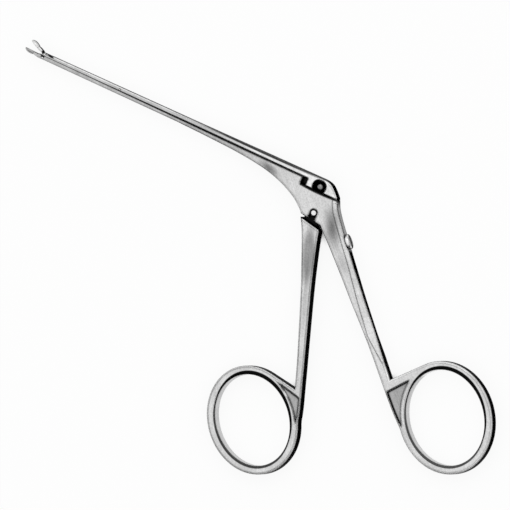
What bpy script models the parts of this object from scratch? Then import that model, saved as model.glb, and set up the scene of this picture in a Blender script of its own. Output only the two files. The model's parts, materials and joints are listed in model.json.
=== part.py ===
"""Ear polypus forceps: a slender crocodile-action forceps with two finger rings.

The instrument lies on its side. X runs along the shaft, with the jaws towards -X,
the rings lie towards -Y, and Z is up through its thickness. The origin is on the
underside of the body, at the middle of its flat cheek.
"""
import math

import bmesh
import bpy
from mathutils import Matrix, Vector

MM = 0.001

# Body and thickness
THICKNESS = 4.5 * MM                 # body, shanks and rings, through Z
EDGE_ROUND = 0.6 * MM                # rounded edges of the fixed half
ORIGIN_AHEAD = 6.5 * MM              # the reference point, ahead of the handle pivot
ORIGIN_ABOVE = 3.4 * MM              # and above it
BODY_DROP = 2.06 * MM                # body's lower edge, below the handle pivot
EDGE_SLOPE = 0.13                    # fall of that edge towards the rear
BODY_HALF_FRONT = 3.3 * MM           # lower front corner, ahead of the handle pivot
BODY_HALF_REAR = 4.1 * MM            # crotch between the two handles, behind it
BODY_REAR = 4.6 * MM                 # upper rear corner, behind the handle pivot

# Shaft
SHAFT_WIDTH = 2.0 * MM               # through Z, along the slim part
PARTING = 7.9 * MM                   # sliding face of the fixed shaft, above the pivot
SHAFT_DEPTH = 1.05 * MM              # of the slim part, below that face
FLARE_START = 46.0 * MM              # the shaft thickens from here ...
FLARE_END = 13.0 * MM                # ... to here, where it is the body
SLIDE_GAP = 0.08 * MM                # between the slider and what it slides on

# Slider
SLIDER_FRONT_DEPTH = 0.9 * MM        # top of the slider at the jaws, above the sliding face
SLIDER_REAR_DEPTH = 1.6 * MM         # and at its rear block
SLIDER_ROUND = 0.35 * MM
RELIEF_RISE = 0.5 * MM               # floor of the hollow beside the tail, above that face
RELIEF_LENGTH = 1.2 * MM             # of that floor, behind the tail's lobe
RELIEF_SLOPE = 0.8 * MM              # length of its sloping rear wall
RELIEF_PAST = 0.4 * MM               # height of that wall past the slider's top
SLIDER_REAR = 4.5 * MM               # rear end of the block, behind the pivot
BLOCK_THICKNESS = 4.1 * MM
BLOCK_ROUND = 5.5 * MM               # length of the block's sloping rear end
SEAT_DEPTH = 2.15 * MM               # seat of the block on the body, below the sliding face
SEAT_FRONT = 6.75 * MM               # front wall of that seat, ahead of the pivot
BLOCK_GAP = 1.5 * MM                 # from that wall to the block, with the jaws open

RIB = 1.6 * MM                       # thickness of the rib under the slider
RIB_LENGTH = 6.0 * MM                # ahead of the block
RIB_DROP = 1.9 * MM                  # below the sliding face
RIB_FLOOR = 0.2 * MM                 # room under the rib
PIN_RECESS = 0.02 * MM               # ends of the small pins, inside the shaft's sides

# Handle pivot, tongue and ball
PIVOT_PIN = 1.7 * MM                 # diameter
PIN_FIT = 0.04 * MM                  # radial clearance of a turning pin
SEAT_FIT = 0.02 * MM                 # radial clearance of a pin in its own piece
NOTCH_FIT = 0.1 * MM                 # radial clearance in the open notch
TONGUE = 2.0 * MM                    # thickness
MORTISE_FIT = 0.15 * MM              # each side of the tongue
TONGUE_FRONT = 2.3 * MM              # ahead of the pivot
TONGUE_REAR = 2.3 * MM               # behind it
TONGUE_SHOULDER = 1.6 * MM           # height of its full width above the pivot
TONGUE_ROOT = 1.2 * MM               # depth to which it is set into the shank
SWING_ROOM = 0.45 * MM               # mortise ahead of and behind the tongue
NECK = 1.6 * MM                      # width of the neck under the ball
BALL = 2.9 * MM                      # diameter
BALL_SINK = 0.85 * MM                # of its centre, below the sliding face
BALL_AHEAD = 1.5 * MM                # ahead of the pivot
SOCKET_FIT = 0.2 * MM                # radial clearance of the ball in its socket
SOCKET_MOUTH = 3.9 * MM              # diameter of the socket where it opens on both sides
MOUTH_DEPTH = 0.8 * MM

# Finger handle
SHOULDER_GAP = 0.8 * MM              # between the body's lower edge and the shoulder
HANDLE_ROUND = 0.45 * MM
FINGER_TOP_WIDTH = 4.8 * MM          # of the shank, under its shoulder
FINGER_END_WIDTH = 2.05 * MM         # and beside the ring
FINGER_RING = (7.3 * MM, -58.6 * MM)

# Thumb handle
THUMB_TOP_WIDTH = 4.95 * MM
THUMB_END_WIDTH = 2.5 * MM
THUMB_RING = (56.4 * MM, -35.7 * MM)
BACK_FACET = 1.3 * MM                # width of the bevel along the back of the thumb shank
FACET_DEPTH = 0.8 * MM               # its depth through Z
FACET_GROWTH = 0.8                   # its gain in size towards the ring, as a share
GROWTH_START = 0.4                   # share of the way down where that gain starts
GROWTH_SPAN = 0.5                    # share of the way that it takes
RUN_OUT_END = 0.1                    # size of the cutter's last section, as a share
RUN_OUT_STEP = 0.2                   # gain at each section before it
OVERCUT = 0.3                        # share by which a slanted cutter passes the metal

# Rings
RING_BAR = 2.4 * MM                  # width of the ring's bar
FINGER_OPENING = (12.7 * MM, 10.2 * MM)  # half axes of the opening
THUMB_OPENING = (13.2 * MM, 10.7 * MM)
FINGER_TILT = math.radians(-46.5)    # long axis of the opening
THUMB_TILT = math.radians(-49.0)
WEB_POCKET = 0.5 * MM                # depth of the shallow pocket between ring and shank
POCKET_BAR = 1.6 * MM                # width of the ring's bar beside the pocket
POCKET_LIP = 0.6 * MM                # width of the shank's lip beside it
FINGER_POCKET_REACH = 0.62           # how far along the web the pocket goes
THUMB_POCKET_REACH = 0.3

# Jaws
JAW_PIVOT_AHEAD = 87.8 * MM          # ahead of the handle pivot
SHAFT_PAST_JAW = 1.6 * MM            # front end of the fixed shaft, past the jaw pivot
JAW_PIVOT_SINK = 0.63 * MM           # below the sliding face
DRIVE_RISE = 0.49 * MM               # of the drive pin above the sliding face
JAW_OPEN = math.radians(25.0)
JAW_PIN = 0.5 * MM                   # diameter of both jaw pins
JAW_LENGTH = 5.75 * MM               # from the jaw pivot to the tip
TAIL = 0.7 * MM                      # thickness of the upper jaw's tail
TAIL_FIT = 0.06 * MM                 # each side of the tail
TAIL_LOBE = 0.36 * MM                # radius of the metal round its pins
ROOT_LENGTH = 1.2 * MM               # from the jaw pivot to the full-width root
ROOT_DEPTH = 0.55 * MM
CUP_LENGTH = 3.5 * MM
CUP_WIDTH = 2.0 * MM
CUP_DEPTH = 0.92 * MM
CUP_WALL = 0.25 * MM
RIM_HEIGHT = 0.5 * MM                # of the rims above the jaw pivot
RIM_GAP = 0.05 * MM                  # half the gap between the closed rims
RIM_RISE = math.radians(2.0)         # the jaws bend up towards their tips

# Slider guides
GUIDE_PIN = 0.45 * MM                # diameter
GUIDE_BEHIND_JAW = 13.6 * MM         # front guide pin, behind the jaw pivot
GUIDE_PITCH = 10.1 * MM              # between the two guide pins
GUIDE_RISE = 0.37 * MM               # of both pins above the sliding face
TENON = 0.6 * MM                     # thickness
TENON_LENGTH = 3.4 * MM
TENON_RISE = 0.72 * MM               # above the sliding face
TENON_FIT = 0.1 * MM

# Screw in the back of the thumb handle
SCREW_HEAD = 4.2 * MM                # diameter
SCREW_RISE = 0.9 * MM                # height of the head
SCREW_SHANK = 2.0 * MM
SCREW_LENGTH = 3.6 * MM
SCREW_SLOT = 0.5 * MM
SCREW_DOWN = 12.7 * MM               # from the upper rear corner, along the back
SCREW_SINK = 0.25 * MM               # depth of the flat under the head
HEAD_FIT = 0.1 * MM                  # round the head, in its seat
HOLE_PAST = 0.3 * MM                 # depth of the hole past the screw's end

CURVE_STEPS = 6                      # points on each stretch of a smooth curve
RING_STEPS = 72                      # points round a ring

MID = THICKNESS / 2
SHAFT_FRONT = JAW_PIVOT_AHEAD + SHAFT_PAST_JAW
GUIDE_FRONT = JAW_PIVOT_AHEAD - GUIDE_BEHIND_JAW
GUIDE_REAR = GUIDE_FRONT - GUIDE_PITCH
PIN_REACH = SHAFT_WIDTH / 2 - PIN_RECESS
SHAFT_BOTTOM = PARTING - SHAFT_DEPTH
SLIDER_TOP_FRONT = PARTING + SLIDER_FRONT_DEPTH
SLIDER_TOP_REAR = PARTING + SLIDER_REAR_DEPTH
BLOCK_FLOOR = PARTING - SEAT_DEPTH
BALL_HEIGHT = PARTING - BALL_SINK
JAW_PIVOT_HEIGHT = PARTING - JAW_PIVOT_SINK
JAW_ARM = JAW_PIVOT_SINK + DRIVE_RISE
GUIDE_HEIGHT = PARTING + GUIDE_RISE
TENON_TOP = PARTING + TENON_RISE
ROOT_HEIGHT = PARTING + 2 * SLIDE_GAP - JAW_PIVOT_HEIGHT
STROKE = 2 * JAW_ARM * math.tan(JAW_OPEN / 2)
PIVOT = Vector((ORIGIN_AHEAD, -ORIGIN_ABOVE, 0.0))

for old in list(bpy.data.objects):
    bpy.data.objects.remove(old, do_unlink=True)

parts = bpy.data.collections.new("ear_polypus_forceps")
cutters = bpy.data.collections.new("cutters")
bpy.context.scene.collection.children.link(parts)
bpy.context.scene.collection.children.link(cutters)


def steel(name, colour, roughness):
    """A satin stainless steel of its own for each piece."""
    material = bpy.data.materials.new(name)
    material.use_nodes = True
    shader = material.node_tree.nodes["Principled BSDF"]
    shader.inputs["Base Color"].default_value = (colour, colour, colour * 1.01, 1.0)
    shader.inputs["Metallic"].default_value = 1.0
    shader.inputs["Roughness"].default_value = roughness
    material.diffuse_color = (colour, colour, colour, 1.0)
    return material


def along(points, steps=CURVE_STEPS):
    """Points on a smooth curve through the given points, keeping both ends."""
    points = [Vector(p) for p in points]
    ends = [points[0] * 2 - points[1]] + points + [points[-1] * 2 - points[-2]]
    smooth = []
    for before, start, end, after in zip(ends, ends[1:], ends[2:], ends[3:]):
        leave = (end - before) / 2
        arrive = (after - start) / 2
        for step in range(steps):
            t = step / steps
            smooth.append(
                start * (2 * t**3 - 3 * t**2 + 1)
                + leave * (t**3 - 2 * t**2 + t)
                + end * (3 * t**2 - 2 * t**3)
                + arrive * (t**3 - t**2)
            )
    return smooth + [points[-1]]


def both_edges(stations):
    """The two edges of a shank from its centre line and its widths."""
    centre = along([(x, y, width) for x, y, width in stations])
    left = []
    right = []
    for i, here in enumerate(centre):
        ahead = centre[min(i + 1, len(centre) - 1)]
        behind = centre[max(i - 1, 0)]
        run = Vector((ahead.x - behind.x, ahead.y - behind.y)).normalized()
        side = Vector((run.y, -run.x)) * here.z / 2
        middle = Vector((here.x, here.y))
        left.append(middle + side)
        right.append(middle - side)
    return left, right


class Ellipse:
    """An ellipse in the XY plane."""

    def __init__(self, centre, half_axes, tilt):
        self.centre = Vector(centre)
        self.half_axes = half_axes
        self.turn = Matrix.Rotation(tilt, 2)

    def point(self, angle):
        long, short = self.half_axes
        return self.centre + self.turn @ Vector((long * math.cos(angle), short * math.sin(angle)))

    def angle(self, point):
        local = self.turn.transposed() @ (Vector(point) - self.centre)
        return math.atan2(local.y / self.half_axes[1], local.x / self.half_axes[0])

    def distance(self, point):
        """Distance from the centre, as a share of the way to the edge."""
        local = self.turn.transposed() @ (Vector(point) - self.centre)
        return math.hypot(local.x / self.half_axes[0], local.y / self.half_axes[1])

    def holds(self, point):
        return self.distance(point) < 1.0

    def arc(self, start, end, anticlockwise, steps):
        if anticlockwise:
            while end <= start:
                end += 2 * math.pi
        else:
            while end >= start:
                end -= 2 * math.pi
        return [self.point(start + (end - start) * i / steps) for i in range(steps + 1)]

    def grown(self, margin):
        bigger = Ellipse(self.centre, [axis + margin for axis in self.half_axes], 0.0)
        bigger.turn = self.turn
        return bigger


def ring_handle(stations, notch, ring, anticlockwise):
    """Near edge of a shank, a straight web, round the ring, and back up the far edge."""
    left, right = both_edges(stations)
    near, far = (left, right) if anticlockwise else (right, left)
    near = near[: notch * CURVE_STEPS + 1]
    far = [p for p in far if not ring.holds(p)]
    touch = math.acos(1 / ring.distance(near[-1]))
    start = ring.angle(near[-1]) + (touch if anticlockwise else -touch)
    arc = ring.arc(start, ring.angle(far[-1]), anticlockwise, RING_STEPS)
    return near + arc[:-1] + list(reversed(far))


def link(obj, collection, material=None):
    for old in list(obj.users_collection):
        old.objects.unlink(obj)
    collection.objects.link(obj)
    if collection == cutters:
        obj.hide_render = True
        obj.display_type = "WIRE"
    if material:
        obj.data.materials.clear()
        obj.data.materials.append(material)
    return obj


def plate(name, loops, thickness, edge_round, middle=MID):
    """A flat plate with rounded edges, as a mesh; the first loop is the outer one."""
    curve = bpy.data.curves.new(name, "CURVE")
    curve.dimensions = "2D"
    curve.fill_mode = "BOTH"
    curve.extrude = thickness / 2 - edge_round
    curve.bevel_depth = edge_round
    curve.bevel_resolution = 2
    curve.offset = -edge_round
    for loop in loops:
        spline = curve.splines.new("POLY")
        spline.points.add(len(loop) - 1)
        for point, place in zip(spline.points, loop):
            point.co = (place[0], place[1], 0.0, 1.0)
        spline.use_cyclic_u = True
    obj = bpy.data.objects.new(name, curve)
    bpy.context.scene.collection.objects.link(obj)
    made = from_curve(name, obj)
    made.data.transform(Matrix.Translation((0, 0, middle)))
    return made


def sweep(name, path, profile, shares):
    """A closed profile swept along a path, scaled by a share at each of its points."""
    outline = bpy.data.curves.new(name + "_profile", "CURVE")
    outline.dimensions = "2D"
    outline.fill_mode = "NONE"
    spline = outline.splines.new("POLY")
    spline.points.add(len(profile) - 1)
    for point, place in zip(spline.points, profile):
        point.co = (place[0], place[1], 0.0, 1.0)
    spline.use_cyclic_u = True
    section = bpy.data.objects.new(name + "_profile", outline)
    curve = bpy.data.curves.new(name, "CURVE")
    curve.dimensions = "3D"
    curve.twist_mode = "Z_UP"
    curve.bevel_mode = "OBJECT"
    curve.bevel_object = section
    curve.use_fill_caps = True
    spline = curve.splines.new("POLY")
    spline.points.add(len(path) - 1)
    for point, place, share in zip(spline.points, path, shares):
        point.co = (place[0], place[1], place[2], 1.0)
        point.radius = share
    obj = bpy.data.objects.new(name, curve)
    for extra in (section, obj):
        bpy.context.scene.collection.objects.link(extra)
    made = from_curve(name, obj)
    bpy.data.objects.remove(section)
    return made


def from_curve(name, obj):
    """The mesh of a curve object, with its caps welded on; the curve is removed."""
    graph = bpy.context.evaluated_depsgraph_get()
    mesh = bpy.data.meshes.new_from_object(obj.evaluated_get(graph))
    bm = bmesh.new()
    bm.from_mesh(mesh)
    bpy.data.meshes.remove(mesh)
    bmesh.ops.remove_doubles(bm, verts=bm.verts, dist=1e-7)
    bmesh.ops.recalc_face_normals(bm, faces=bm.faces)
    made = from_bmesh(name, bm)
    made.matrix_world = obj.matrix_world
    bpy.data.objects.remove(obj)
    return made


def box(name, x, y, z):
    """A box from its limits along the three axes."""
    bm = bmesh.new()
    bmesh.ops.create_cube(bm, size=1.0)
    size = Vector((x[1] - x[0], y[1] - y[0], z[1] - z[0]))
    centre = Vector((x[0] + x[1], y[0] + y[1], z[0] + z[1])) / 2
    bmesh.ops.scale(bm, vec=size, verts=bm.verts)
    bmesh.ops.translate(bm, vec=centre, verts=bm.verts)
    return from_bmesh(name, bm)


def rod(name, radius, z, place, segments=32):
    """A round rod along Z at a place in the XY plane."""
    bm = bmesh.new()
    bmesh.ops.create_cone(
        bm, cap_ends=True, segments=segments, radius1=radius, radius2=radius, depth=z[1] - z[0]
    )
    bmesh.ops.translate(bm, vec=(place[0], place[1], (z[0] + z[1]) / 2), verts=bm.verts)
    return from_bmesh(name, bm)


def egg(name, half_axes, place, segments=24, rings=14):
    """An ellipsoid with its poles along X."""
    bm = bmesh.new()
    bmesh.ops.create_uvsphere(bm, u_segments=segments, v_segments=rings, radius=1.0)
    bmesh.ops.rotate(bm, cent=(0, 0, 0), matrix=Matrix.Rotation(math.pi / 2, 3, "Y"), verts=bm.verts)
    bmesh.ops.scale(bm, vec=half_axes, verts=bm.verts)
    bmesh.ops.translate(bm, vec=place, verts=bm.verts)
    return from_bmesh(name, bm)


def from_bmesh(name, bm):
    mesh = bpy.data.meshes.new(name)
    bm.to_mesh(mesh)
    bm.free()
    obj = bpy.data.objects.new(name, mesh)
    bpy.context.scene.collection.objects.link(obj)
    return obj


def combine(obj, tool, operation):
    """Cut, join or intersect with another solid."""
    link(tool, cutters)
    modifier = obj.modifiers.new(tool.name, "BOOLEAN")
    modifier.object = tool
    modifier.operation = operation
    modifier.solver = "EXACT"
    return obj


def cut(obj, tool):
    return combine(obj, tool, "DIFFERENCE")


def join(obj, tool):
    return combine(obj, tool, "UNION")


def half_width(x, full):
    """Half the width through Z at a place along the shaft."""
    t = (x + FLARE_START) / (FLARE_START - FLARE_END)
    t = min(max(t, 0.0), 1.0)
    return (SHAFT_WIDTH + (full - SHAFT_WIDTH) * (3 * t**2 - 2 * t**3)) / 2


def flare(obj, full):
    """Thin the front of a plate to the slim shaft, with a smooth flare."""
    bm = bmesh.new()
    bm.from_mesh(obj.data)
    cuts = 14
    for i in range(cuts + 1):
        x = -FLARE_START + (FLARE_START - FLARE_END) * i / cuts
        everything = list(bm.verts) + list(bm.edges) + list(bm.faces)
        bmesh.ops.bisect_plane(
            bm, geom=everything, dist=1e-8, plane_co=(x, 0, 0), plane_no=(1, 0, 0)
        )
    for vert in bm.verts:
        if vert.co.x < -FLARE_END:
            vert.co.z = MID + (vert.co.z - MID) * half_width(vert.co.x, full) / (full / 2)
    bm.to_mesh(obj.data)
    bm.free()
    return obj


def finish(obj, name, material, place=PIVOT, turn=0.0):
    """Name a piece, give it its steel and set it in place."""
    obj.name = name
    obj.data.name = name
    link(obj, parts, material)
    holder = bpy.data.objects.new(name + "_place", None)
    parts.objects.link(holder)
    holder.location = place
    holder.rotation_euler.z = turn
    obj.parent = holder
    for modifier in obj.modifiers:
        modifier.object.parent = holder
    obj.data.shade_smooth()
    obj.data.set_sharp_from_angle(angle=math.radians(35))
    return obj


LOW = -THICKNESS
HIGH = 2 * THICKNESS
JAW_PIVOT = Vector((-JAW_PIVOT_AHEAD, JAW_PIVOT_HEIGHT))
DRIVE_PIN = JAW_PIVOT + Vector((JAW_ARM * math.tan(JAW_OPEN / 2), JAW_ARM))
SLOT = TAIL / 2 + TAIL_FIT

# Shanks: centre line and width at each station, from the body to the ring.
finger_shank = [
    (-0.5 * MM, -0.2 * MM, FINGER_TOP_WIDTH * 1.4),
    (1.35 * MM, -5.6 * MM, FINGER_TOP_WIDTH),
    (4.2 * MM, -13.6 * MM, FINGER_TOP_WIDTH * 0.76),
    (6.55 * MM, -20.0 * MM, FINGER_TOP_WIDTH * 0.62),
    (9.65 * MM, -28.6 * MM, FINGER_END_WIDTH * 1.25),
    (13.05 * MM, -38.0 * MM, FINGER_END_WIDTH * 1.08),
    (15.7 * MM, -45.6 * MM, FINGER_END_WIDTH),
    (17.9 * MM, -52.4 * MM, FINGER_END_WIDTH),
    (19.1 * MM, -59.0 * MM, FINGER_END_WIDTH),
]
thumb_shank = [
    (9.75 * MM, -5.25 * MM, THUMB_TOP_WIDTH),
    (16.1 * MM, -11.8 * MM, THUMB_TOP_WIDTH * 0.84),
    (20.95 * MM, -16.85 * MM, THUMB_TOP_WIDTH * 0.74),
    (26.5 * MM, -22.4 * MM, THUMB_END_WIDTH * 1.25),
    (32.25 * MM, -28.3 * MM, THUMB_END_WIDTH * 1.1),
    (37.2 * MM, -33.5 * MM, THUMB_END_WIDTH * 1.04),
    (40.2 * MM, -36.6 * MM, THUMB_END_WIDTH),
    (44.0 * MM, -40.3 * MM, THUMB_END_WIDTH),
    (48.4 * MM, -44.0 * MM, THUMB_END_WIDTH),
]


finger_opening = Ellipse(FINGER_RING, FINGER_OPENING, FINGER_TILT)
thumb_opening = Ellipse(THUMB_RING, THUMB_OPENING, THUMB_TILT)
finger_ring = finger_opening.grown(RING_BAR)
thumb_ring = thumb_opening.grown(RING_BAR)


def clip(edge, line):
    """The part of an edge that lies under a line, from where it crosses."""
    kept = []
    for before, after in zip(edge, edge[1:]):
        if before.y >= line(before.x) and after.y < line(after.x):
            high = before.y - line(before.x)
            low = line(after.x) - after.y
            kept.append(before.lerp(after, high / (high + low)))
        if after.y < line(after.x):
            kept.append(after)
    return kept


def prism(name, outline, z):
    """A sharp-edged slab from an outline in the XY plane."""
    return plate(name, [outline], z[1] - z[0], 0.0, (z[0] + z[1]) / 2)


def obround(centre, radius, half_length, direction, steps=10):
    """Outline of a slot with round ends."""
    centre = Vector(centre)
    run = Vector(direction).normalized()
    side = Vector((-run.y, run.x))
    outline = []
    for end in (1, -1):
        for i in range(steps + 1):
            angle = math.pi * i / steps - math.pi / 2
            spoke = run * math.cos(angle) + side * math.sin(angle)
            outline.append(centre + end * (run * half_length + spoke * radius))
    return outline


def baked(obj):
    """The same object with its modifiers applied."""
    graph = bpy.context.evaluated_depsgraph_get()
    mesh = bpy.data.meshes.new_from_object(obj.evaluated_get(graph))
    obj.modifiers.clear()
    obj.data = mesh
    return obj


def lower_edge(x):
    return -BODY_DROP - EDGE_SLOPE * x


def shoulder(x):
    return lower_edge(x) - SHOULDER_GAP


# Fixed half: body, fixed shaft, thumb shank and ring in one outline.
thumb_outline = ring_handle(thumb_shank, 5, thumb_ring, anticlockwise=False)
rear_corner = Vector((BODY_REAR, BLOCK_FLOOR))
back = along(
    [rear_corner, (BODY_REAR + 1.7 * MM, BLOCK_FLOOR - 3.0 * MM), thumb_outline[0]]
)
CROWN = EDGE_ROUND * 2               # metal left above the sliding faces, cut off below
underside = along(
    [
        (-BODY_HALF_FRONT, lower_edge(-BODY_HALF_FRONT)),
        (-4.3 * MM, -0.6 * MM),
        (-6.3 * MM, 1.0 * MM),
        (-8.9 * MM, 2.45 * MM),
        (-12.2 * MM, 3.8 * MM),
        (-16.0 * MM, 4.9 * MM),
        (-20.5 * MM, 5.65 * MM),
        (-27.0 * MM, 6.25 * MM),
        (-36.0 * MM, SHAFT_BOTTOM - 0.25 * MM),
        (-FLARE_START, SHAFT_BOTTOM),
    ]
)
frame_outline = (
    [rear_corner + Vector((0, CROWN))]
    + back[:-1]
    + thumb_outline
    + [Vector((BODY_HALF_REAR, lower_edge(BODY_HALF_REAR) - 0.9 * MM))]
    + [Vector((BODY_HALF_REAR - 1.0 * MM, lower_edge(BODY_HALF_REAR - 1.0 * MM)))]
    + underside
    + [Vector((-SHAFT_FRONT, SHAFT_BOTTOM))]
    + [Vector((-SHAFT_FRONT, PARTING + CROWN))]
    + [Vector((-SEAT_FRONT, PARTING + CROWN))]
)
thumb_hole = thumb_opening.arc(0.0, 2 * math.pi, True, RING_STEPS)[:-1]
frame = flare(plate("frame", [frame_outline, thumb_hole], THICKNESS, EDGE_ROUND), THICKNESS)
cut(frame, box("sliding_face", (-SHAFT_FRONT * 1.1, 2 * BODY_REAR), (PARTING, 2 * PARTING), (LOW, HIGH)))
cut(frame, box("block_seat", (-SEAT_FRONT, 2 * BODY_REAR), (BLOCK_FLOOR, 2 * PARTING), (LOW, HIGH)))

# Lower jaw, forged on the end of the fixed shaft, and its mate.
RIM_TILT = Matrix.Rotation(-RIM_RISE, 4, "Z")


def cup(name, side):
    """Half of a hollow egg whose rim lies beside the jaws' meeting plane."""
    middle = (CUP_LENGTH / 2 - JAW_LENGTH, RIM_HEIGHT + side * RIM_GAP, MID)
    outer = (CUP_LENGTH / 2, CUP_DEPTH, CUP_WIDTH / 2)
    shell = egg(name, outer, middle)
    hollow = egg(name + "_hollow", [axis - CUP_WALL for axis in outer], middle)
    past = sorted((middle[1], middle[1] - side * 2 * CUP_DEPTH))
    other_half = box(name + "_rim", (-2 * JAW_LENGTH, JAW_LENGTH), past, (LOW, HIGH))
    return shell, hollow, other_half


def jaw(name, side, root):
    """A cup and the root that carries it, tilted to the jaws' rise."""
    shell, hollow, other_half = cup(name, side)
    arm = plate(name + "_arm", [root], CUP_WIDTH * 0.88, 0.14 * MM)
    join(shell, arm)
    cut(shell, hollow)
    cut(shell, other_half)
    baked(shell)
    shell.data.transform(RIM_TILT)
    return shell


cup_rear = CUP_LENGTH - JAW_LENGTH - 0.75 * MM
lower_root = [
    (-ROOT_LENGTH, RIM_HEIGHT + 0.3 * MM),
    (cup_rear, RIM_HEIGHT + 0.3 * MM),
    (cup_rear, RIM_HEIGHT - CUP_DEPTH * 0.72),
    (-ROOT_LENGTH - 0.6 * MM, SHAFT_BOTTOM - JAW_PIVOT_HEIGHT),
    (-ROOT_LENGTH, SHAFT_BOTTOM - JAW_PIVOT_HEIGHT),
]
upper_root = [
    (-ROOT_LENGTH, ROOT_HEIGHT),
    (-ROOT_LENGTH, ROOT_HEIGHT + ROOT_DEPTH),
    (cup_rear + 0.6 * MM, RIM_HEIGHT + CUP_DEPTH * 0.88),
    (cup_rear, RIM_HEIGHT + CUP_DEPTH * 0.75),
    (cup_rear, RIM_HEIGHT - RIM_GAP),
    (cup_rear + 0.6 * MM, RIM_HEIGHT + RIM_GAP),
]
lower_jaw = jaw("lower_jaw", -1, lower_root)
lower_jaw.data.transform(Matrix.Translation(JAW_PIVOT.to_3d()))
join(frame, lower_jaw)

slot_front = -JAW_PIVOT_AHEAD - ROOT_LENGTH - 0.25 * MM
cut(
    frame,
    box(
        "jaw_slot",
        (slot_front, -JAW_PIVOT_AHEAD + 0.7 * MM),
        (0.0, 2 * PARTING),
        (MID - SLOT, MID + SLOT),
    ),
)
cut(frame, rod("jaw_pivot_hole", JAW_PIN / 2 + SEAT_FIT, (LOW, HIGH), JAW_PIVOT))

# Mortise for the tongue, and the open notch that seats the handle pin.
NECK_FRONT = BALL_AHEAD + NECK / 2
mortise = [
    (-TONGUE_FRONT - SWING_ROOM, -2 * BODY_DROP - SHOULDER_GAP),
    (TONGUE_REAR + SWING_ROOM, -2 * BODY_DROP - SHOULDER_GAP),
    (TONGUE_REAR + SWING_ROOM, PARTING),
    (-NECK_FRONT - STROKE - SWING_ROOM, PARTING),
    (-NECK_FRONT - STROKE - SWING_ROOM, TONGUE_SHOULDER * 1.6),
    (-TONGUE_FRONT - SWING_ROOM, TONGUE_SHOULDER * 0.4),
]
TONGUE_ROOM = TONGUE / 2 + MORTISE_FIT
cut(frame, prism("mortise", mortise, (MID - TONGUE_ROOM, MID + TONGUE_ROOM)))
notch_radius = PIVOT_PIN / 2 + NOTCH_FIT
notch = obround((0, -BODY_DROP), notch_radius, BODY_DROP, (0, 1))
cut(frame, prism("pin_notch", notch, (LOW, HIGH)))

# Groove for the rib under the slider, ahead of the mortise.
rib_front = -SEAT_FRONT + BLOCK_GAP - RIB_LENGTH
cut(
    frame,
    box(
        "rib_groove",
        (rib_front - STROKE - SWING_ROOM, 0.0),
        (PARTING - RIB_DROP - RIB_FLOOR, 2 * PARTING),
        (MID - RIB / 2 - MORTISE_FIT, MID + RIB / 2 + MORTISE_FIT),
    ),
)


def web_pocket(opening, shank, notch, below, reach, anticlockwise):
    """Outline of the pocket between ring and shank, from a few points below the notch."""
    bar = opening.grown(POCKET_BAR)
    left, right = both_edges(shank)
    near, far = (left, right) if anticlockwise else (right, left)
    first = notch * CURVE_STEPS
    lip = [p.lerp(q, POCKET_LIP / (q - p).length) for p, q in zip(far, near)]
    beside = [p for p in lip[first + below :] if not bar.holds(p)]
    touch = math.acos(1 / bar.distance(near[first]))
    end = bar.angle(near[first]) + (touch if anticlockwise else -touch) * reach
    arc = bar.arc(bar.angle(beside[-1]), end, anticlockwise, 18)
    return beside + arc[1:]


for name, place in (("front", GUIDE_FRONT), ("rear", GUIDE_REAR)):
    centre = -place - STROKE / 2
    join(
        frame,
        box(
            "tenon_" + name,
            (centre - TENON_LENGTH / 2, centre + TENON_LENGTH / 2),
            (PARTING - 0.3 * MM, TENON_TOP),
            (MID - TENON / 2, MID + TENON / 2),
        ),
    )
    slot = obround((centre, GUIDE_HEIGHT), GUIDE_PIN / 2 + PIN_FIT, STROKE / 2 + PIN_FIT, (1, 0))
    cut(frame, prism("tenon_slot_" + name, slot, (LOW, HIGH)))

# Screw in the back of the thumb shank.
gone = 0.0
spine = back[:-1] + thumb_outline
for here, ahead in zip(spine, spine[1:]):
    gone += (ahead - here).length
    if gone > SCREW_DOWN:
        break
inward = Vector((ahead.y - here.y, here.x - ahead.x, 0.0)).normalized()
SCREW_SEAT = Matrix.Translation((here.x, here.y, MID)) @ inward.to_track_quat("Z", "Y").to_matrix().to_4x4()


def screw_rod(name, radius, z, segments=32):
    """A rod along the screw's axis, which starts at the back of the shank."""
    made = rod(name, radius, z, (0.0, 0.0), segments)
    made.data.transform(SCREW_SEAT)
    return made


# Bevels along the back: the cutter's long side leaves a facet of this width and depth.
corner = [
    ((1 + OVERCUT) * BACK_FACET, OVERCUT * FACET_DEPTH),
    (-OVERCUT * BACK_FACET, -(1 + OVERCUT) * FACET_DEPTH),
    (-BACK_FACET, FACET_DEPTH),
]
stations = [rear_corner + Vector((0, 3 * CROWN))] + spine[: len(back) + 5 * CURVE_STEPS - 2]
facet_path = [here.lerp(ahead, 0.5) for here, ahead in zip(stations, stations[1:])]
last = len(facet_path) - 1
sizes = []
for i in range(last + 1):
    grown = min(max((i / last - GROWTH_START) / GROWTH_SPAN, 0.0), 1.0)
    sizes.append(min(1.0 + FACET_GROWTH * grown, RUN_OUT_END + RUN_OUT_STEP * (last - i)))
run_out = (facet_path[last] - facet_path[last - 1]).normalized()
outward = Vector((-run_out.y, run_out.x)) * BACK_FACET
facet_path[last] += outward * OVERCUT
facet_path[last - 1] += outward * OVERCUT / 3
for name, height, side in (("facet_upper", THICKNESS, 1), ("facet_under", 0.0, -1)):
    section = [(u, side * v) for u, v in corner]
    path = [(p.x, p.y, height) for p in facet_path]
    cut(frame, sweep(name, path, section, sizes))
screw_end = SCREW_SINK + SCREW_LENGTH
cut(frame, screw_rod("screw_seat", SCREW_HEAD / 2 + HEAD_FIT, (-3 * SCREW_RISE, SCREW_SINK)))
cut(frame, screw_rod("screw_hole", SCREW_SHANK / 2 + SEAT_FIT, (0.0, screw_end + HOLE_PAST)))
screw = screw_rod("rear_screw", SCREW_SHANK / 2, (0.0, screw_end), 24)
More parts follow.
